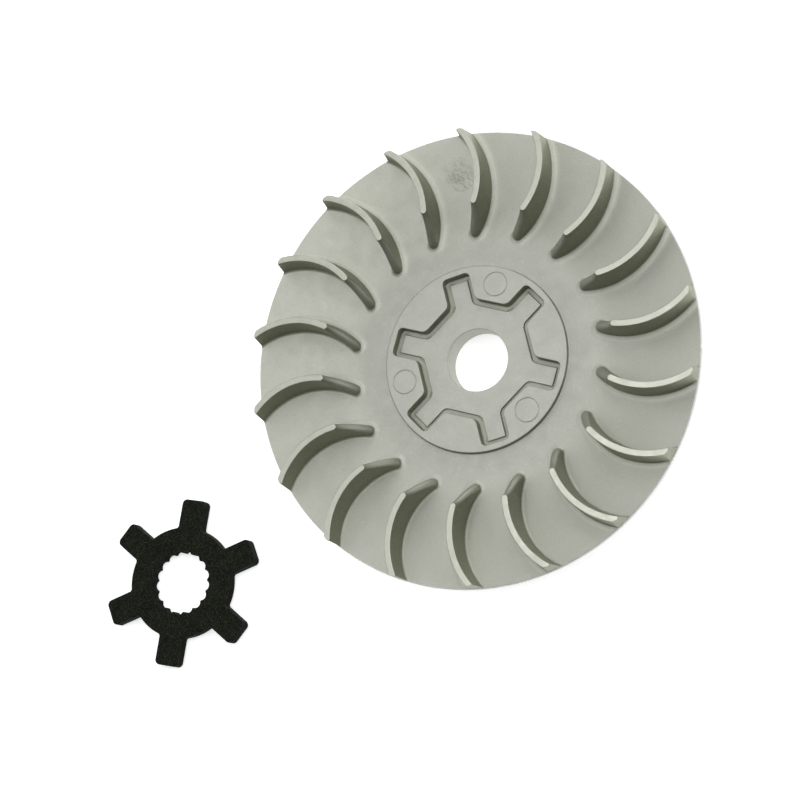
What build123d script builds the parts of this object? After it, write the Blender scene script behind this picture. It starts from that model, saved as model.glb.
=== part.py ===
from build123d import *

import os
from math import asin, atan2, cos, degrees, hypot, radians, sin, tan

# Fixed half pulley of a small scooter belt drive, cast in one piece with its
# cooling fan, and the loose star washer that keys it to the crankshaft.
# Millimetres. +Z is the crankshaft axis and points to the fan side. The
# origin is the centre of the crankshaft bore on the flat hub face at the back.
# +X points from the wheel to the washer that lies beside it.

# ---- Wheel body ----
outer_diameter = 116.0
bore_diameter = 16.0
hub_face_diameter = 43.4      # flat machined face at the back, around the bore
belt_cone_angle = 14.0        # belt face, measured from the flat hub face
rim_thickness = 1.7           # turned cylindrical edge of the disc
rim_edge_break = 0.25
dish_floor_height = 6.9       # flat ring of the fan side above the hub face
dish_blend_radius = 30.0      # soft bend between the flat ring and the rise

# ---- Hub plate with the star recess ----
arm_count = 6
recess_angle = 71.7           # turn of the six arms and the ejector marks about Z
recess_tip_radius = 22.2
recess_arm_width = 7.3
recess_waist = 14.85          # distance of the straight flats between the arms
recess_root_radius = 2.0      # rounding of the plate between arm and flat
recess_tip_corner = 1.2
recess_depth = 1.9            # plate down to the seat of the washer
moat_width = 1.3              # relief groove along the wall of the recess
moat_extra_depth = 0.65
plate_margin = 1.7            # plate left outside the tips of the arms
plate_step = 1.15             # height of the plate above the flat ring
plate_edge_radius = 0.3

# ---- Ejector pin marks on the plate ----
mark_count = 3
mark_diameter = 6.1
mark_line_width = 0.35
mark_depth = 0.15
mark_edge_distance = 4.5      # from the edge of the plate to a mark's centre

# ---- Fan blades ----
blade_count = 18
blade_angle = -0.9            # turn of the first blade about Z
blade_foot_gap = 8.0          # from the edge of the plate to the blade's foot
blade_ramp_length = 5.7       # sloping inner end, measured along the radius
blade_rise_start = 1.1        # the disc starts to rise this far past the foot
blade_tip_inset = 0.3         # outer end of the flat top, in from the rim
blade_bow = 4.7               # height of the arc over its chord
blade_rise_inner = 6.4        # top above the rim, at the inner end
blade_rise_outer = 5.7        # top above the rim, at the outer end
blade_top_thickness = 1.6
blade_base_thickness = 2.5

# ---- Star washer ----
washer_thickness = 3.0
washer_tip_clearance = 0.35
washer_flank_clearance = 0.2
washer_waist_clearance = 0.35
washer_seat_clearance = 0.05
washer_tip_corner = 1.3
washer_root_radius = 0.8
washer_edge_radius = 0.3
spline_teeth = 17
spline_groove_depth = 0.45    # past the radius of the crankshaft's plain seat
spline_tooth_height = 0.2     # inside that radius
spline_tooth_land = 0.35      # flat on the point of each tooth
loose_gap = 18.8              # free floor between the rim and the washer

# ---- Worked out from the values above ----
outer_radius = outer_diameter / 2
bore_radius = bore_diameter / 2
hub_face_radius = hub_face_diameter / 2
cone_slope = tan(radians(belt_cone_angle))
rim_bottom_z = (outer_radius - hub_face_radius) * cone_slope
rim_top_z = rim_bottom_z + rim_thickness
arm_pitch = 360 / arm_count
plate_radius = recess_tip_radius + plate_margin
plate_top_z = dish_floor_height + plate_step
seat_z = plate_top_z - recess_depth
moat_z = seat_z - moat_extra_depth
blade_foot_radius = plate_radius + blade_foot_gap
blade_ramp_radius = blade_foot_radius + blade_ramp_length
blade_tip_radius = outer_radius - blade_tip_inset
dish_flat_radius = blade_foot_radius + blade_rise_start
washer_tip_radius = recess_tip_radius - washer_tip_clearance
washer_ring_radius = recess_waist - washer_waist_clearance
washer_arm_width = recess_arm_width - 2 * washer_flank_clearance
washer_distance = outer_radius + loose_gap + washer_tip_radius
spline_major_radius = bore_radius + spline_groove_depth
spline_minor_radius = bore_radius - spline_tooth_height


def polar(radius, angle):
    return (radius * cos(radians(angle)), radius * sin(radians(angle)))


def revolved(points):
    """Full turn about Z of a closed outline of (radius, height) points."""
    wire = Polyline(*[(radius, 0, height) for radius, height in points], close=True)
    return revolve(make_face(wire), Axis.Z)


# ---- Wheel ----
def disc():
    edge_radius = outer_radius - rim_edge_break
    body = revolved([
        (bore_radius, 0),
        (hub_face_radius, 0),
        (edge_radius, rim_bottom_z - rim_edge_break * cone_slope),
        (outer_radius, rim_bottom_z + rim_edge_break),
        (outer_radius, rim_top_z - rim_edge_break),
        (edge_radius, rim_top_z),
        (dish_flat_radius, dish_floor_height),
        (plate_radius, dish_floor_height),
        (plate_radius, plate_top_z),
        (bore_radius, plate_top_z),
    ])
    body = fillet(circles_at(body, dish_flat_radius, dish_floor_height), dish_blend_radius)
    return fillet(circles_at(body, plate_radius, plate_top_z), plate_edge_radius)


def circles_at(body, radius, height):
    level = body.edges().filter_by(lambda e: abs(e.center().Z - height) < 0.01)
    circles = level.filter_by(GeomType.CIRCLE)
    return circles.filter_by(lambda e: abs(e.radius - radius) < 0.01)


def star_face(tip_radius, arm_width, waist, root_radius, tip_corner):
    """Six-armed outline with straight flats between the arms."""
    half = arm_width / 2
    gap = arm_pitch / 2
    root_x = (waist - half * sin(radians(gap))) / cos(radians(gap))
    corners = []
    for arm in range(arm_count):
        turn = arm * arm_pitch
        for x, y in ((root_x, -half), (tip_radius, -half), (tip_radius, half), (root_x, half)):
            corners.append(polar(hypot(x, y), degrees(atan2(y, x)) + turn))
    face = make_face(Polyline(*corners, close=True))
    tips = face.vertices().filter_by(lambda v: hypot(v.X, v.Y) > tip_radius - 0.1)
    face = fillet(tips, tip_corner) if tip_corner else face
    midway = (waist + tip_radius) / 2
    roots = face.vertices().filter_by(lambda v: hypot(v.X, v.Y) < midway)
    return fillet(roots, root_radius)


def star_recess():
    """Pocket for the washer: a seat with a deeper groove along the wall."""
    wall = star_face(
        recess_tip_radius,
        recess_arm_width,
        recess_waist,
        recess_root_radius,
        recess_tip_corner,
    )
    seat = star_face(
        recess_tip_radius - moat_width,
        recess_arm_width - 2 * moat_width,
        recess_waist - moat_width,
        recess_root_radius,
        0,
    )
    pocket = extrude(Pos(0, 0, seat_z) * wall, recess_depth + 1)
    groove = extrude(Pos(0, 0, moat_z) * (wall - seat), moat_extra_depth + 0.5)
    return Rot(0, 0, recess_angle) * (pocket + groove)


def ejector_marks():
    outside = Circle(mark_diameter / 2 + mark_line_width / 2)
    line = outside - Circle(mark_diameter / 2 - mark_line_width / 2)
    groove = extrude(Pos(0, 0, plate_top_z - mark_depth) * line, 1)
    groove = Pos(plate_radius - mark_edge_distance, 0, 0) * groove
    first = recess_angle + arm_pitch / 2
    return [Rot(0, 0, first + i * 360 / mark_count) * groove for i in range(mark_count)]


def blade():
    """One blade on +X: a tapering wall bent to an arc, cut to the fan's outline."""
    chord = blade_tip_radius - blade_foot_radius
    bend_radius = (chord**2 / 4 + blade_bow**2) / (2 * blade_bow)
    half_sweep = degrees(asin(chord / 2 / bend_radius))
    overrun = 8                   # degrees of arc past each end, cut off again
    base_z = dish_floor_height - 1
    top_z = rim_top_z + max(blade_rise_inner, blade_rise_outer) + 0.5
    taper = (blade_base_thickness - blade_top_thickness) / (top_z - base_z) / 2
    half_base = blade_base_thickness / 2
    half_top = half_base - taper * (top_z - base_z)
    wall = Polyline(
        (bend_radius - half_base, 0, base_z),
        (bend_radius + half_base, 0, base_z),
        (bend_radius + half_top, 0, top_z),
        (bend_radius - half_top, 0, top_z),
        close=True,
    )
    sweep = 2 * (half_sweep + overrun)
    arc = revolve(make_face(wall), Axis.Z, sweep)
    centre = (blade_foot_radius + chord / 2, bend_radius - blade_bow)
    arc = Pos(*centre, 0) * Rot(0, 0, -90 - sweep / 2) * arc
    envelope = revolved([
        (blade_foot_radius - 1, base_z),
        (blade_foot_radius, dish_floor_height),
        (blade_ramp_radius, rim_top_z + blade_rise_inner),
        (blade_tip_radius, rim_top_z + blade_rise_outer),
        (outer_radius - rim_edge_break, rim_top_z),
        (outer_radius - rim_edge_break, rim_top_z - rim_thickness / 2),
        (blade_ramp_radius, base_z),
    ])
    return arc & envelope


def fan_wheel():
    wheel = disc()
    one = blade()
    for i in range(blade_count):
        wheel += Rot(0, 0, blade_angle + i * 360 / blade_count) * one
    wheel -= star_recess()
    for mark in ejector_marks():
        wheel -= mark
    return wheel


# ---- Washer ----
def spline_hole():
    """Round-bottomed grooves with a narrow land on the tooth between them."""
    pitch = 360 / spline_teeth
    land = degrees(spline_tooth_land / spline_minor_radius)
    lines = []
    for tooth in range(spline_teeth):
        start = tooth * pitch
        first = polar(spline_minor_radius, start - land / 2)
        second = polar(spline_minor_radius, start + land / 2)
        middle = polar(spline_major_radius, start + pitch / 2)
        third = polar(spline_minor_radius, start + pitch - land / 2)
        lines.append(Line(first, second))
        lines.append(ThreePointArc(second, middle, third))
    return make_face(Wire(lines))


def star_washer():
    """Washer in its own place: centred on Z, an arm on +X, resting on Z = 0."""
    arm = Pos(washer_tip_radius / 2, 0, 0) * Rectangle(washer_tip_radius, washer_arm_width)
    outline = Circle(washer_ring_radius)
    for i in range(arm_count):
        outline += Rot(0, 0, i * arm_pitch) * arm
    tips = outline.vertices().filter_by(lambda v: hypot(v.X, v.Y) > washer_tip_radius - 0.1)
    outline = fillet(tips, washer_tip_corner)
    roots = outline.vertices().filter_by(lambda v: hypot(v.X, v.Y) < washer_ring_radius + 0.1)
    outline = fillet(roots, washer_root_radius)
    plate = extrude(outline, washer_thickness)
    rims = plate.faces().filter_by(Axis.Z).edges()
    plate = fillet(rims, washer_edge_radius)
    hole = extrude(Pos(0, 0, -1) * spline_hole(), washer_thickness + 2)
    return plate - hole


def beside_wheel(washer):
    """Turned over about the line midway to its seat, so the arms will line up."""
    return Pos(washer_distance, 0, 0) * Rot(0, 0, 180 - recess_angle) * washer


os.makedirs("parts", exist_ok=True)
export_step(fan_wheel(), "parts/fan_wheel.step")
export_step(beside_wheel(star_washer()), "parts/star_washer.step")

swing_height = (seat_z + washer_seat_clearance + washer_thickness) / 2
print("the washer turns over to its seat about x", washer_distance / 2, "z", round(swing_height, 3))
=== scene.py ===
from math import asin, atan2, cos, hypot, pi, radians, sin, tan

import bmesh
import bpy
from mathutils import Matrix, Vector

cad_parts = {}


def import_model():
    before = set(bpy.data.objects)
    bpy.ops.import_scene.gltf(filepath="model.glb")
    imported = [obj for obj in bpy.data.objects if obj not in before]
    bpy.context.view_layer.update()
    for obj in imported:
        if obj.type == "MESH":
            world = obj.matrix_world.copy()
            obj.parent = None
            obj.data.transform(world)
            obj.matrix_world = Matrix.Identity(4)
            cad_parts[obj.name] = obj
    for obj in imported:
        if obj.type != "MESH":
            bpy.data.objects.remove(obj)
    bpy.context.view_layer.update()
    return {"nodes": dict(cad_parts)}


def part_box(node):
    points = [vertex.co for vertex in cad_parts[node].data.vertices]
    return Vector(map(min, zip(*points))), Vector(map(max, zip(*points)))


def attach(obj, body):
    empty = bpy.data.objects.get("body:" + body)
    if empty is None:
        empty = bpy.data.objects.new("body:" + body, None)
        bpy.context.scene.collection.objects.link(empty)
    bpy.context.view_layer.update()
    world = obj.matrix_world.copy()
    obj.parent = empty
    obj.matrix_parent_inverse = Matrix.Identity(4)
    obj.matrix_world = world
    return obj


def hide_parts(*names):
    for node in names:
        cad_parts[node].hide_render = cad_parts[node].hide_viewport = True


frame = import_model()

# Fixed half pulley with cast-in fan, and the loose star washer beside it.
# Lengths are millimetres and become metres where a mesh or a place is made.
MM = 0.001
wheel_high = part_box("fan_wheel")[1]

# ---- Wheel body ----
outer_radius = wheel_high.x / MM
bore_radius = 8.0
bore_edge_break = 0.1
hub_face_radius = 21.7
rim_thickness = 1.7
rim_edge_break = 0.25
dish_floor_height = 6.9
dish_blend_radius = 30.0

# ---- Hub plate with the star recess ----
arm_count = 6
recess_angle = 71.7
recess_tip_radius = 22.2
recess_arm_width = 7.3
recess_waist = 14.85
recess_root_radius = 2.0
recess_tip_corner = 1.2
recess_depth = 1.9
moat_width = 1.3
moat_extra_depth = 0.65
plate_margin = 1.7
plate_step = 1.15
plate_edge_radius = 0.3
recess_lip_radius = 0.2
moat_corner_radius = 0.35
island_lip_radius = 0.12
island_foot_width = 0.15      # small slope where the groove meets the raised seat
island_foot_height = 0.1
least_tip_corner = 0.12       # kept where the recess's outline moves inwards
edge_land = 0.1               # flat strip beside a rounded edge, so that flats shade flat

# ---- Ejector pin marks ----
mark_count = 3
mark_diameter = 6.1
mark_line_width = 0.35
mark_depth = 0.1
mark_edge_distance = 4.5
mark_profile = (0.5, 0.35, 0, -0.35, -0.5)  # across the groove, as shares of its width

# ---- Fan blades ----
blade_count = 18
blade_angle = -0.9
blade_foot_gap = 8.0
blade_ramp_length = 5.7
blade_rise_start = 1.1
blade_tip_inset = 0.3
blade_bow = 4.7
blade_rise_inner = 6.4
blade_rise_outer = 5.7
blade_top_thickness = 1.6
blade_base_thickness = 2.5
blade_edge_radius = 0.18
blade_fillet_radius = 0.4
blade_end_bulge = 0.3         # the outer end is rounded that far across its width
nose_hump = 0.6               # 0 is a straight ramp, 1 a full S-shaped one
skirt_width = 2.1             # shallow raised band around the foot of a blade
skirt_slope = 22.0            # degrees, next to the blade, flattening outwards
skirt_narrowing = 0.3         # its width on the inside of the bend, as a share

# ---- Colours, linear ----
cast_light = (0.492, 0.497, 0.444)
cast_dark = (0.450, 0.454, 0.405)
cast_warm = (0.460, 0.456, 0.390)
cast_speck = (0.60, 0.60, 0.55)
cast_hub = (0.428, 0.435, 0.392)
cast_plate = (0.450, 0.457, 0.412)
cast_wall = (0.350, 0.368, 0.282)
# painted shade: steep walls take these darker, greener colours in place of their skin
wall_shade_light = (0.382, 0.401, 0.311)
wall_shade_dark = (0.318, 0.335, 0.253)
# painted shade: darker colour for the sunken groove round the washer's seat
groove_shade = (0.270, 0.285, 0.220)
scuff_dark = (0.31, 0.30, 0.25)
skim_light = (0.508, 0.512, 0.447)
skim_dark = (0.450, 0.455, 0.396)
turned_light = (0.80, 0.80, 0.79)
turned_dark = (0.72, 0.72, 0.70)
black_deep = (0.0030, 0.0042, 0.0022)
black_worn = (0.0065, 0.0080, 0.0050)
black_speck = (0.038, 0.042, 0.029)
steel_rubbed = (0.032, 0.034, 0.028)
skirt_gain = 1.12             # the skirts and the bore are lighter
end_gain = 0.74               # the outer ends of the blades are duller
hub_tone_start = 27.0         # radii between which the floor takes on the tone of the hub
hub_tone_end = 33.0
scuff_radius = 48.0           # a rough patch left by the casting, between two blades
scuff_angle = 242.0
scuff_height = 9.2
scuff_raggedness = 7.0        # noise of up to this much joins the distance from its middle
scuff_outside = 7.6           # where that sum reaches this, the patch has faded out
scuff_inside = 4.8            # and below this, it is full

# ---- Mesh density ----
side_steps = 34
nose_side_steps = 4
nose_front_steps = 12
wall_steps = 8
round_steps = 4
fillet_steps = 5
skirt_steps = 5
floor_steps = 7
floor_crowding = 1.4          # above 1, rows of floor stand closer near a blade
floor_margin = 4.5            # floor inside the blades' noses that belongs to their sectors
cone_steps = 24
corner_steps = 5
root_steps = 6
lip_steps = 3
mark_steps = 48
top_shares = [0.0, 0.25, 0.5, 0.7]  # rows across half of a blade's top, as shares of it
flank_shares = (0.25, 0.5, 0.75)
tip_shares = (0.33, 0.67)
plate_shares = (0.3, 0.6, 0.85)  # rings of flat floor between the sectors and the plate
weld_distance = 0.0005
sharp_angle = 32              # degrees between faces, above which an edge stays sharp

# ---- Worked out ----
plate_radius = recess_tip_radius + plate_margin
plate_top_z = dish_floor_height + plate_step
seat_z = plate_top_z - recess_depth
moat_z = seat_z - moat_extra_depth
rim_top_z = wheel_high.z / MM - blade_rise_inner
rim_bottom_z = rim_top_z - rim_thickness
cone_slope = rim_bottom_z / (outer_radius - hub_face_radius)
foot_radius = plate_radius + blade_foot_gap
ramp_radius = foot_radius + blade_ramp_length
tip_radius = outer_radius - blade_tip_inset
dish_flat_radius = foot_radius + blade_rise_start
edge_radius = outer_radius - rim_edge_break
dish_slope = (rim_top_z - dish_floor_height) / (edge_radius - dish_flat_radius)
blend_length = dish_blend_radius * tan(atan2(dish_slope, 1) / 2)
chord = tip_radius - foot_radius
bend_radius = (chord**2 / 4 + blade_bow**2) / (2 * blade_bow)
bend_x = foot_radius + chord / 2
bend_y = bend_radius - blade_bow
bend_distance = hypot(bend_x, bend_y)
bend_direction = atan2(bend_y, bend_x)
pitch = 2 * pi / blade_count
floor_inner_radius = foot_radius - floor_margin
scuff_x = scuff_radius * cos(radians(scuff_angle))
scuff_y = scuff_radius * sin(radians(scuff_angle))
fillet_reach = blade_fillet_radius * (1 - sin(radians(skirt_slope)))
skirt_top = (skirt_width - fillet_reach) * tan(radians(skirt_slope)) / 2
fillet_top = skirt_top + blade_fillet_radius * cos(radians(skirt_slope))


# ---- Mesh building ----
BLASTED, TURNED, SKIMMED, EDGE, BLADE_END, RIM = 0, 1, 2, 3, 4, 5


class Shell:
    """Vertices and faces of one piece, in millimetres, joined at the end."""

    def __init__(self):
        self.bm = bmesh.new()

    def row(self, points):
        return [self.bm.verts.new(point) for point in points]

    def strip(self, first, second, closed=False, finish=BLASTED):
        """Quads between two rows with as many points each."""
        count = len(first) if closed else len(first) - 1
        for i in range(count):
            j = (i + 1) % len(first)
            face = self.bm.faces.new((first[i], first[j], second[j], second[i]))
            face.material_index = finish

    def rows(self, rows, closed=False, finish=BLASTED):
        made = [self.row(points) for points in rows]
        for first, second in zip(made, made[1:]):
            self.strip(first, second, closed, finish)
        return made

    def fill(self, loops, finish=BLASTED):
        """Flat cap between an outer loop and the loops inside it."""
        edges = set()
        for loop in loops:
            for i, vert in enumerate(loop):
                edges.add(self.bm.edges.get((vert, loop[(i + 1) % len(loop)])))
        made = bmesh.ops.triangle_fill(self.bm, edges=list(edges), use_beauty=True, normal=(0, 0, 1))
        for face in made["geom"]:
            if isinstance(face, bmesh.types.BMFace):
                face.material_index = finish

    def piece(self, name, materials):
        bmesh.ops.remove_doubles(self.bm, verts=self.bm.verts[:], dist=weld_distance)
        bmesh.ops.recalc_face_normals(self.bm, faces=self.bm.faces[:])
        if self.bm.calc_volume(signed=True) < 0:  # every face points inwards
            bmesh.ops.reverse_faces(self.bm, faces=self.bm.faces[:])
        mesh = bpy.data.meshes.new(name)
        bmesh.ops.scale(self.bm, vec=(MM, MM, MM), verts=self.bm.verts[:])
        self.bm.to_mesh(mesh)
        self.bm.free()
        mesh.shade_smooth()
        mesh.set_sharp_from_angle(angle=radians(sharp_angle))
        for material in materials:
            mesh.materials.append(material)
        piece = bpy.data.objects.new(name, mesh)
        bpy.context.collection.objects.link(piece)
        return piece


def mix(a, b, share):
    return a + (b - a) * share


def spread(count):
    """Shares from 0 to 1 in that many steps."""
    return [i / count for i in range(count + 1)]


def quarter(radius, steps):
    """Pairs of offsets round a quarter circle: the first falls to 0 as the second rises."""
    turns = [share * pi / 2 for share in spread(steps)]
    return [(radius * (1 - sin(turn)), radius * (1 - cos(turn))) for turn in turns]


def turned(point, angle):
    x, y, z = point
    return (x * cos(angle) - y * sin(angle), x * sin(angle) + y * cos(angle), z)


# ---- Fan side of the disc ----
def floor_z(radius):
    """Flat ring, soft bend, then the straight rise to the rim."""
    start = dish_flat_radius - blend_length
    end = dish_flat_radius + blend_length
    if radius <= start:
        return dish_floor_height
    if radius >= end:
        return dish_floor_height + dish_slope * (radius - dish_flat_radius)
    run = radius - start
    return dish_floor_height + dish_blend_radius - (dish_blend_radius**2 - run**2) ** 0.5


def blade_top_z(radius):
    share = (radius - ramp_radius) / (tip_radius - ramp_radius)
    rise = mix(blade_rise_inner, blade_rise_outer, min(max(share, 0), 1))
    return rim_top_z + rise


def bend_angle(line_radius, radius):
    """Where a line of the bent blade is that far from the wheel's axis."""
    reach = (radius**2 - bend_distance**2 - line_radius**2) / (2 * line_radius * bend_distance)
    return bend_direction + asin(reach)


def bend_point(line_radius, angle):
    return (bend_x + line_radius * sin(angle), bend_y - line_radius * cos(angle))


def outline(offset, nose_angle, end_radius, inner_offset=None):
    """Line around the blade: in along the outside of the bend, round the nose, out again."""
    inner_offset = inner_offset or offset
    outer_line = bend_radius + offset
    inner_line = bend_radius - inner_offset
    outer_end = bend_angle(outer_line, end_radius)
    inner_end = bend_angle(inner_line, end_radius)
    points = [bend_point(outer_line, mix(outer_end, nose_angle, s)) for s in spread(side_steps)]
    x, y = bend_point(bend_radius, nose_angle)
    nose_steps = 2 * nose_side_steps + nose_front_steps
    for share in spread(nose_steps)[1:-1]:
        turn = pi * share
        reach = mix(offset, inner_offset, share)
        across = reach * cos(turn)
        ahead = reach * sin(turn)
        points.append((
            x + across * sin(nose_angle) - ahead * cos(nose_angle),
            y - across * cos(nose_angle) - ahead * sin(nose_angle),
        ))
    points += [bend_point(inner_line, mix(nose_angle, inner_end, s)) for s in spread(side_steps)]
    return points


def end_radius_at(height_over_rim, across=1.0):
    """Outer end of a blade: round in plan at the top, flush with the rim at the foot."""
    bulge = blade_end_bulge * (1 - across**2)
    return mix(edge_radius, tip_radius - blade_end_bulge + bulge, height_over_rim / blade_rise_outer)


def nose_angle_at(radius, offset):
    return bend_angle(bend_radius, radius) + offset / bend_radius


def blade_rows():
    """Rows from the middle of the top, down the walls, the fillet and the skirt."""
    half_top = blade_top_thickness / 2
    half_base = blade_base_thickness / 2
    base_nose = nose_angle_at(foot_radius, half_base)
    top_nose = nose_angle_at(ramp_radius, half_top)
    rows = []
    for across in top_shares:
        line = outline(half_top * across, top_nose, end_radius_at(blade_rise_outer, across))
        rows.append([(x, y, blade_top_z(hypot(x, y))) for x, y in line])
    for inset, drop in quarter(blade_edge_radius, round_steps):
        line = outline(half_top - inset, top_nose, end_radius_at(blade_rise_outer - drop))
        rows.append([(x, y, blade_top_z(hypot(x, y)) - drop) for x, y in line])
    for share in spread(wall_steps)[1:]:
        offset = mix(half_top, half_base, share)
        rise = mix(blade_rise_outer - blade_edge_radius, fillet_top, share)
        step = share * share * (3 - 2 * share)
        tip = mix(ramp_radius, foot_radius, mix(share, step, nose_hump))
        line = outline(offset, nose_angle_at(tip, offset), end_radius_at(rise))
        row = []
        for x, y in line:
            radius = hypot(x, y)
            high = blade_top_z(radius) - blade_edge_radius
            low = floor_z(radius) + fillet_top
            row.append((x, y, mix(high, low, share)))
        rows.append(row)
    for reach, rise in foot_profile():
        inner_offset = half_base + reach * skirt_narrowing
        line = outline(half_base + reach, base_nose, end_radius_at(rise), inner_offset)
        rows.append([(x, y, floor_z(hypot(x, y)) + rise) for x, y in line])
    return rows


def foot_profile():
    """From the wall: a tight fillet, then the shallow skirt fading into the floor."""
    points = []
    for share in spread(fillet_steps)[1:]:
        turn = share * radians(90 - skirt_slope)
        points.append((blade_fillet_radius * (1 - cos(turn)), fillet_top - blade_fillet_radius * sin(turn)))
    for share in spread(skirt_steps)[1:]:
        points.append((mix(fillet_reach, skirt_width, share), skirt_top * (1 - share) ** 2))
    return points


def sector_border():
    """Edge of one blade's share of the floor, matched to the blade's outline."""
    half = pitch / 2
    base_nose = nose_angle_at(foot_radius, blade_base_thickness / 2)
    end = bend_angle(bend_radius, edge_radius)
    side = []
    for share in spread(side_steps):
        x, y = bend_point(bend_radius, mix(end, base_nose, share))
        side.append((hypot(x, y), atan2(y, x)))
    last_radius, last_angle = side[-1]
    lead = last_angle - side[-2][1]
    for share in spread(nose_side_steps)[1:]:
        side.append((mix(last_radius, floor_inner_radius, share), last_angle + lead * share))
    first_side = [(radius, angle - half) for radius, angle in side]
    other_side = [(radius, angle + half) for radius, angle in reversed(side)]
    front = []
    for share in spread(nose_front_steps)[1:-1]:
        front.append((floor_inner_radius, mix(first_side[-1][1], other_side[0][1], share)))
    return first_side + front + other_side


def floor_rows(last_row, border):
    """Rows of floor between a blade's skirt and the edge of its share."""
    rows = []
    for share in spread(floor_steps)[1:]:
        reach = share**floor_crowding
        row = []
        for (x, y, z), (radius, angle) in zip(last_row, border):
            near_radius = hypot(x, y)
            near_angle = atan2(y, x)
            r = mix(near_radius, radius, reach)
            a = mix(near_angle, angle, reach)
            row.append((r * cos(a), r * sin(a), floor_z(r)))
        rows.append(row)
    return rows


def end_face_rows(rows):
    """Outer end of a blade, from its top edge down to the rim."""
    outer_side = [row[0] for row in rows[:len(top_shares)]]
    inner_side = [row[-1] for row in rows[1:len(top_shares)]]
    made = [outer_side[::-1] + inner_side]
    lean = edge_radius - tip_radius + blade_end_bulge
    for row in rows[len(top_shares):]:
        first, last = row[0], row[-1]
        radius = hypot(first[0], first[1])
        start = atan2(first[1], first[0])
        stop = atan2(last[1], last[0])
        bulge = blade_end_bulge * (edge_radius - radius) / lean
        line = []
        for across in [-share for share in top_shares[:0:-1]] + top_shares:
            offset = across / top_shares[-1]
            share = 0.5 + offset / 2
            r = radius + bulge * (1 - offset**2)
            angle = mix(start, stop, share)
            line.append((r * cos(angle), r * sin(angle), mix(first[2], last[2], share)))
        made.append(line)
    return made


def rim_angles(blade, floor, end):
    """Angles at which the sector's mesh meets the edge of the rim."""
    right = [atan2(row[0][1], row[0][0]) for row in reversed(floor)]
    middle = [atan2(y, x) for x, y, z in end[-1]]
    left = [atan2(row[-1][1], row[-1][0]) for row in floor]
    return right + middle + left


def fan_side(shell):
    """Every blade with its share of the floor; gives back the angles along the rim."""
    blade = blade_rows()
    floor = floor_rows(blade[-1], sector_border())
    end = end_face_rows(blade)
    top = round_steps + len(top_shares) + 1
    skirt = top + wall_steps + fillet_steps - 2
    parts = [
        (blade[:top], SKIMMED),
        (blade[top - 1:skirt + 1], BLASTED),
        (blade[skirt:-2], EDGE),
        (blade[-3:] + floor, BLASTED),
        (end, BLADE_END),
    ]
    for i in range(blade_count):
        turn = radians(blade_angle) + i * pitch
        for rows, finish in parts:
            shell.rows([[turned(p, turn) for p in row] for row in rows], finish=finish)
    angles = rim_angles(blade, floor, end)
    return [radians(blade_angle) + i * pitch + a for i in range(blade_count) for a in angles[:-1]]


# ---- Rings about the axis ----
def ring(radius, z, angles):
    return [(radius * cos(a), radius * sin(a), z) for a in angles]


def turned_back(shell, angles):
    """Rim, belt cone, hub face and bore, up to the seat in the recess."""
    edge = [(edge_radius, rim_top_z), (outer_radius, rim_top_z - rim_edge_break)]
    edge.append((outer_radius, rim_bottom_z + rim_edge_break))
    shell.rows([ring(r, z, angles) for r, z in edge], closed=True, finish=RIM)
    profile = [edge[-1], (edge_radius, rim_bottom_z - rim_edge_break * cone_slope)]
    for share in spread(cone_steps)[1:]:
        radius = mix(edge_radius, hub_face_radius, share)
        profile.append((radius, (radius - hub_face_radius) * cone_slope))
    profile.append((hub_face_radius - edge_land, 0))
    profile.append((bore_radius + bore_edge_break, 0))
    profile.append((bore_radius, bore_edge_break))
    shell.rows([ring(r, z, angles) for r, z in profile], closed=True, finish=TURNED)
    bore = [
        (bore_radius, bore_edge_break),
        (bore_radius, seat_z - bore_edge_break),
        (bore_radius + bore_edge_break, seat_z),
    ]
    return shell.rows([ring(r, z, angles) for r, z in bore], closed=True, finish=EDGE)[-1]


def plate_edge(shell):
    """Flat ring of the fan side and the step up to the hub plate."""
    border = sector_border()
    first = side_steps + nose_side_steps
    part = [angle for radius, angle in border[first:first + nose_front_steps]]
    angles = [radians(blade_angle) + i * pitch + a for i in range(blade_count) for a in part]
    profile = [(floor_inner_radius, dish_floor_height)]
    profile += [(mix(floor_inner_radius, plate_radius, s), dish_floor_height) for s in plate_shares]
    for out, rise in quarter(plate_edge_radius, lip_steps):
        profile.append((plate_radius + out, dish_floor_height + rise))
    for drop, inset in quarter(plate_edge_radius, round_steps):
        profile.append((plate_radius - inset, plate_top_z - drop))
    profile.append((plate_radius - plate_edge_radius - edge_land, plate_top_z))
    made = shell.rows([ring(r, z, angles) for r, z in profile], closed=True)
    return made[-1]


# ---- Star recess ----
def star_line(inset, z):
    """Outline of the recess, moved inwards by an inset, at one height."""
    half = recess_arm_width / 2 - inset
    tip = recess_tip_radius - inset
    waist = recess_waist - inset
    gap = pi / arm_count
    root_x = (waist - half * sin(gap)) / cos(gap)
    corner = max(recess_tip_corner - inset, least_tip_corner)
    root = recess_root_radius
    points = []
    for arm in range(arm_count):
        turn = radians(recess_angle) + arm * 2 * pi / arm_count
        local = root_arc(root_x, half, root, gap, -1)
        local += [(mix(local[-1][0], tip - corner, s), -half) for s in flank_shares]
        for share in spread(corner_steps):
            bend = mix(-pi / 2, 0, share)
            local.append((tip - corner + corner * cos(bend), -half + corner + corner * sin(bend)))
        local += [(tip, mix(-half + corner, half - corner, s)) for s in tip_shares]
        for share in spread(corner_steps):
            bend = mix(0, pi / 2, share)
            local.append((tip - corner + corner * cos(bend), half - corner + corner * sin(bend)))
        back = root_arc(root_x, half, root, gap, 1)
        local += [(mix(tip - corner, back[0][0], s), half) for s in flank_shares]
        local += back
        points += [turned((x, y, z), turn) for x, y in local]
    return points


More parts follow.
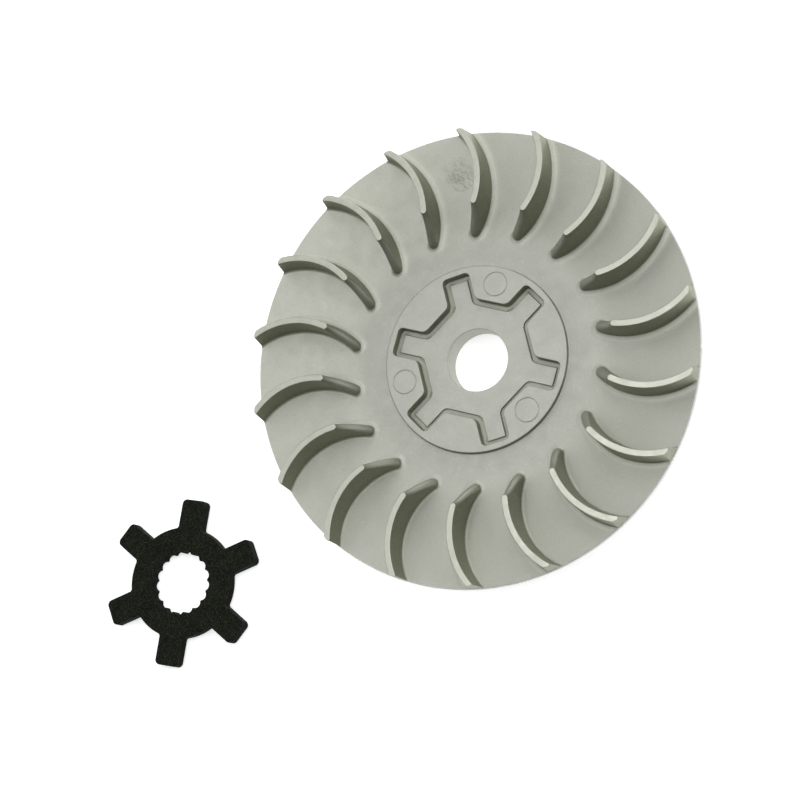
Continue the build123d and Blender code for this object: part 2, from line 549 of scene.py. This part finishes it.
def root_arc(root_x, half, root, gap, side):
    """Rounded inner corner between a flat of the waist and an arm's flank."""
    bend = pi / 2 - gap
    reach = root * tan(bend / 2)
    centre = (root_x + reach, half + root)
    points = []
    for share in spread(root_steps):
        angle = mix(-pi / 2 - bend, -pi / 2, share)
        points.append((centre[0] + root * cos(angle), centre[1] + root * sin(angle)))
    if side > 0:
        return [(x, y) for x, y in reversed(points)]
    return [(x, -y) for x, y in points]


def star_recess(shell):
    """Wall, sunken groove and raised seat of the washer's pocket."""
    lines = [(-recess_lip_radius - edge_land, plate_top_z)]
    for out, drop in quarter(recess_lip_radius, lip_steps):
        lines.append((-out, plate_top_z - drop))
    for rise, inset in quarter(moat_corner_radius, round_steps):
        lines.append((inset, moat_z + rise))
    lines.append((moat_width - island_foot_width, moat_z))
    lines.append((moat_width, moat_z + island_foot_height))
    for drop, inset in quarter(island_lip_radius, lip_steps):
        lines.append((moat_width + inset, seat_z - drop))
    lines.append((moat_width + island_lip_radius + edge_land, seat_z))
    made = shell.rows([star_line(inset, z) for inset, z in lines], closed=True)
    return made[0], made[-1]


def ejector_mark(shell, angle):
    """Thin round groove; gives back its outer edge."""
    centre = plate_radius - mark_edge_distance
    angles = [2 * pi * i / mark_steps for i in range(mark_steps)]
    rows = []
    for across in mark_profile:
        radius = mark_diameter / 2 + across * mark_line_width
        depth = mark_depth * (1 - (2 * across) ** 2)
        circle = ring(radius, plate_top_z - depth, angles)
        rows.append([turned((x + centre, y, z), angle) for x, y, z in circle])
    made = shell.rows(rows, closed=True)
    middle = shell.bm.verts.new(turned((centre, 0, plate_top_z), angle))
    inner = made[-1]
    for i, vert in enumerate(inner):
        shell.bm.faces.new((middle, vert, inner[(i + 1) % len(inner)]))
    return made[0]


def wheel_casting(materials):
    shell = Shell()
    angles = fan_side(shell)
    bore_edge = turned_back(shell, angles)
    plate_loop = plate_edge(shell)
    recess_loop, seat_loop = star_recess(shell)
    first = radians(recess_angle) + pi / arm_count
    marks = [ejector_mark(shell, first + i * 2 * pi / mark_count) for i in range(mark_count)]
    shell.fill([plate_loop, recess_loop, *marks])
    shell.fill([seat_loop, bore_edge])
    return shell.piece("wheel_casting", materials)


# ---- Materials ----
class Finish:
    """A node material whose textures are laid out in millimetres on the object."""

    def __init__(self, name, roughness, metallic):
        self.material = bpy.data.materials.new(name)
        self.material.use_nodes = True
        self.tree = self.material.node_tree
        self.shader = self.tree.nodes["Principled BSDF"]
        self.shader.inputs["Roughness"].default_value = roughness
        self.shader.inputs["Metallic"].default_value = metallic
        place = self.node("ShaderNodeTexCoord")
        self.normal = place.outputs["Normal"]
        scale = self.node("ShaderNodeVectorMath", operation="SCALE")
        scale.inputs["Scale"].default_value = 1 / MM
        self.link(place.outputs["Object"], scale.inputs[0])
        self.position = scale.outputs["Vector"]

    def node(self, kind, **settings):
        made = self.tree.nodes.new(kind)
        for name, value in settings.items():
            setattr(made, name, value)
        return made

    def link(self, source, target):
        self.tree.links.new(source, target)

    def put(self, source, target):
        """Link a socket, or set a plain number."""
        if isinstance(source, (int, float)):
            target.default_value = source
        else:
            self.link(source, target)

    def noise(self, size, detail=2.0, vector=None):
        """Noise with features of about that size; centred on a half."""
        made = self.node("ShaderNodeTexNoise")
        made.inputs["Scale"].default_value = 1 / size
        made.inputs["Detail"].default_value = detail
        self.link(vector or self.position, made.inputs["Vector"])
        return made.outputs["Fac"]

    def math(self, operation, a, b=0.0):
        made = self.node("ShaderNodeMath", operation=operation)
        self.put(a, made.inputs[0])
        self.put(b, made.inputs[1])
        return made.outputs[0]

    def remap(self, value, low, high, to_low=0.0, to_high=1.0):
        made = self.node("ShaderNodeMapRange")
        self.link(value, made.inputs["Value"])
        limits = {"From Min": low, "From Max": high, "To Min": to_low, "To Max": to_high}
        for name, number in limits.items():
            made.inputs[name].default_value = number
        return made.outputs["Result"]

    def blend(self, share, first, second):
        """Colour between two colours or sockets."""
        made = self.node("ShaderNodeMix", data_type="RGBA")
        self.link(share, made.inputs["Factor"])
        for source, socket in ((first, made.inputs[6]), (second, made.inputs[7])):
            if isinstance(source, tuple):
                socket.default_value = (*source, 1)
            else:
                self.link(source, socket)
        return made.outputs[2]

    def distance_from(self, place):
        made = self.node("ShaderNodeVectorMath", operation="DISTANCE")
        made.inputs[1].default_value = place
        self.link(self.position, made.inputs[0])
        return made.outputs["Value"]

    def radius(self):
        """Distance from the wheel's axis."""
        flat = self.node("ShaderNodeVectorMath", operation="MULTIPLY")
        flat.inputs[1].default_value = (1, 1, 0)
        self.link(self.position, flat.inputs[0])
        length = self.node("ShaderNodeVectorMath", operation="LENGTH")
        self.link(flat.outputs["Vector"], length.inputs[0])
        return length.outputs["Value"]

    def height(self):
        split = self.node("ShaderNodeSeparateXYZ")
        self.link(self.position, split.inputs[0])
        return split.outputs["Z"]

    def tilt(self):
        """1 on a level surface, 0 on an upright wall."""
        split = self.node("ShaderNodeSeparateXYZ")
        self.link(self.normal, split.inputs[0])
        return self.math("ABSOLUTE", split.outputs["Z"])

    def relief(self, *layers):
        """Bump from (height, depth in millimetres) layers, stacked."""
        normal = None
        for height, depth in layers:
            bump = self.node("ShaderNodeBump")
            bump.inputs["Distance"].default_value = depth * MM
            self.link(height, bump.inputs["Height"])
            if normal:
                self.link(normal, bump.inputs["Normal"])
            normal = bump.outputs["Normal"]
        self.link(normal, self.shader.inputs["Normal"])

    def colour(self, source):
        self.link(source, self.shader.inputs["Base Color"])

    def roughness(self, source):
        self.link(source, self.shader.inputs["Roughness"])


def blasted_aluminium(name, gain=1.0):
    """Die-cast skin after blasting: fine even grain, faint flow stains, one rough patch, and painted shade
    on steep walls and in the recess's groove.
    """
    def tone(colour):
        return tuple(value * gain for value in colour)

    finish = Finish(name, 0.6, 1.0)
    grain = finish.noise(0.42, 3)
    mottle = finish.noise(3.2, 4)
    stain = finish.noise(15, 3)
    radius = finish.radius()
    near = finish.distance_from((scuff_x, scuff_y, scuff_height))
    ragged = finish.math("MULTIPLY", finish.noise(1.9, 4), scuff_raggedness)
    scuff = finish.remap(finish.math("ADD", near, ragged), scuff_outside, scuff_inside)
    skin = finish.blend(finish.remap(mottle, 0.2, 0.8), tone(cast_dark), tone(cast_light))
    skin = finish.blend(finish.remap(stain, 0.5, 0.75, 0, 0.22), skin, tone(cast_warm))
    skin = finish.blend(finish.remap(radius, hub_tone_end, hub_tone_start), skin, tone(cast_hub))
    skin = finish.blend(finish.remap(radius, plate_radius + 0.5, plate_radius), skin, tone(cast_plate))
    skin = finish.blend(finish.remap(grain, 0.6, 0.78, 0, 0.6), skin, tone(cast_speck))
    skin = finish.blend(finish.remap(grain, 0.4, 0.25, 0, 0.5), skin, tone(cast_wall))
    scuffed = finish.math("MULTIPLY", scuff, finish.remap(grain, 0.4, 0.7, 0, 0.65))
    skin = finish.blend(scuffed, skin, scuff_dark)
    outside_bore = finish.remap(radius, bore_radius + 0.15, bore_radius + 0.3)
    inside_tips = finish.remap(radius, plate_radius, recess_tip_radius + 0.1)
    in_pocket = finish.math("MULTIPLY", inside_tips, outside_bore)
    # painted shade: inside the pocket, below the seat's height, the skin is darkened as if in shade
    below_seat = finish.remap(finish.height(), seat_z - 0.05, seat_z - 0.3)
    groove_shade_share = finish.math("MULTIPLY", below_seat, in_pocket)
    # painted shade: steep surfaces, the bore aside, are coloured darker as if in shade
    steep_shade = finish.math("MULTIPLY", finish.remap(finish.tilt(), 0.75, 0.25), outside_bore)
    skin = finish.blend(finish.math("MULTIPLY", groove_shade_share, 0.45), skin, groove_shade)
    # the painted wall shade is blotchy, between a darker and a lighter tone
    blotch = finish.remap(finish.noise(0.5, 4), 0.36, 0.64)
    finish.colour(finish.blend(steep_shade, skin, finish.blend(blotch, wall_shade_dark, wall_shade_light)))
    finish.roughness(finish.remap(mottle, 0.3, 0.7, 0.57, 0.63))
    rough_patch = finish.math("MULTIPLY", scuff, finish.noise(0.9, 4))
    finish.relief((grain, 0.045), (mottle, 0.012), (rough_patch, 0.25))
    return finish.material


def skimmed_aluminium():
    """Blade tops after a light facing cut: brighter, with fine lines round the axis."""
    finish = Finish("skimmed_aluminium", 0.5, 1.0)
    radius = finish.radius()
    lines = finish.noise(0.16, 2, ring_vector(finish, radius))
    mottle = finish.noise(1.6, 4)
    finish.colour(finish.blend(finish.remap(mottle, 0.35, 0.65), skim_dark, skim_light))
    finish.roughness(finish.remap(mottle, 0.3, 0.7, 0.42, 0.58))
    finish.relief((lines, 0.012), (mottle, 0.03))
    return finish.material


def turned_aluminium(name, metallic):
    """Machined surfaces with fine turning lines: belt face and hub face, or the duller rim."""
    finish = Finish(name, 0.3, metallic)
    radius = finish.radius()
    vector = ring_vector(finish, radius)
    lines = finish.noise(0.2, 2, vector)
    bands = finish.noise(2.5, 2, vector)
    smear = finish.noise(6, 3)
    finish.colour(finish.blend(finish.remap(bands, 0.35, 0.65), turned_dark, turned_light))
    polish = finish.remap(bands, 0.3, 0.7, 0.2, 0.3)
    finish.roughness(finish.math("ADD", polish, finish.remap(smear, 0.3, 0.7, 0, 0.1)))
    finish.relief((lines, 0.01))
    return finish.material


def ring_vector(finish, radius):
    """Texture place that changes with the radius and the height only."""
    split = finish.node("ShaderNodeSeparateXYZ")
    finish.link(finish.position, split.inputs[0])
    join = finish.node("ShaderNodeCombineXYZ")
    finish.link(radius, join.inputs["X"])
    finish.link(split.outputs["Z"], join.inputs["Y"])
    return join.outputs["Vector"]


def blackened_steel():
    """Stamped and blackened plate: satin, finely grained, rubbed along its edges, with painted shade on its
    steep sides.
    """
    finish = Finish("blackened_steel", 0.5, 0.0)
    finish.shader.inputs["Specular IOR Level"].default_value = 0.04
    grain = finish.noise(0.22, 3)
    cloud = finish.noise(4, 4)
    tilt = finish.tilt()
    rounded = finish.math("MULTIPLY", finish.remap(tilt, 0.99, 0.8), finish.remap(tilt, 0.1, 0.4))
    rubbed = finish.math("MULTIPLY", rounded, finish.remap(finish.noise(1.5, 4), 0.4, 0.6, 0, 0.7))
    skin = finish.blend(finish.remap(cloud, 0.35, 0.65), black_deep, black_worn)
    skin = finish.blend(finish.remap(grain, 0.48, 0.7), skin, black_speck)
    # painted shade: steep sides are made the deepest black
    skin = finish.blend(finish.remap(tilt, 0.5, 0.15), skin, black_deep)
    finish.colour(finish.blend(rubbed, skin, steel_rubbed))
    finish.roughness(finish.remap(cloud, 0.3, 0.7, 0.55, 0.7))
    finish.relief((grain, 0.06), (cloud, 0.05))
    return finish.material


# ---- Stage, lights and camera ----
softbox_size = 900.0
softbox_distance = 1600.0


def floor():
    size = 3000 * MM
    mesh = bpy.data.meshes.new("floor")
    low = -0.1 * MM
    corners = [(-size, -size, low), (size, -size, low), (size, size, low), (-size, size, low)]
    mesh.from_pydata(corners, [], [(0, 1, 2, 3)])
    piece = bpy.data.objects.new("floor", mesh)
    bpy.context.collection.objects.link(piece)
    white = Finish("floor_white", 0.9, 0.0)
    white.shader.inputs["Base Color"].default_value = (0.9, 0.9, 0.9, 1)
    white.shader.inputs["Emission Color"].default_value = (1, 1, 1, 1)
    white.shader.inputs["Emission Strength"].default_value = 0.5
    mesh.materials.append(white.material)


def camera():
    """Stands where the object was looked at from, turned about its line of sight."""
    look_at = Vector((20.3, -0.1, 15.2)) * MM
    azimuth = radians(119.1)
    elevation = radians(65.9)
    roll = radians(-63.15)
    distance = 500.9 * MM
    toward = Vector((cos(azimuth) * cos(elevation), sin(azimuth) * cos(elevation), sin(elevation)))
    data = bpy.data.cameras.new("camera")
    data.lens = 90.8
    data.sensor_width = 36
    view = bpy.data.objects.new("camera", data)
    bpy.context.collection.objects.link(view)
    spin = toward.to_track_quat("Z", "Y").to_matrix() @ Matrix.Rotation(roll, 3, "Z")
    view.matrix_world = Matrix.Translation(look_at + toward * distance) @ spin.to_4x4()
    bpy.context.scene.camera = view


def softbox(name, elevation, azimuth, power):
    """Round soft light on a dome about the object, aimed at its middle."""
    data = bpy.data.lights.new(name, "AREA")
    data.shape = "DISK"
    data.size = softbox_size * MM
    data.energy = power
    lamp = bpy.data.objects.new(name, data)
    bpy.context.collection.objects.link(lamp)
    up = radians(elevation)
    around = radians(azimuth)
    away = Vector((cos(up) * cos(around), cos(up) * sin(around), sin(up)))
    lamp.location = away * (softbox_distance * MM)
    lamp.rotation_euler = away.to_track_quat("Z", "Y").to_euler()


def world(strength):
    made = bpy.data.worlds.new("studio")
    made.use_nodes = True
    made.node_tree.nodes["Background"].inputs["Color"].default_value = (1, 1, 1, 1)
    made.node_tree.nodes["Background"].inputs["Strength"].default_value = strength
    bpy.context.scene.world = made


casting = wheel_casting([
    blasted_aluminium("blasted_aluminium"),
    turned_aluminium("turned_aluminium", 1.0),
    skimmed_aluminium(),
    blasted_aluminium("blasted_edge", skirt_gain),
    blasted_aluminium("blasted_end", end_gain),
    turned_aluminium("rim_aluminium", 0.35),
])
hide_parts("fan_wheel")
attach(casting, "wheel")
washer = frame["nodes"]["star_washer"]
black = blackened_steel()
for slot in washer.material_slots:
    slot.material = black

floor()
softbox("top", 88, 0, 9.0)
softbox("high_left", 60, 225, 2.2)
softbox("high_back", 60, 300, 1.3)
softbox("left", 35, 158, 7.5)
softbox("back_left", 35, 248, 3.4)
softbox("back", 35, 292, 1.9)
softbox("back_right", 35, 338, 3.0)
softbox("low_left", 12, 225, 7.0)
softbox("low_back", 12, 315, 2.0)
world(0.09)
camera()
bpy.context.scene.view_settings.view_transform = "Standard"
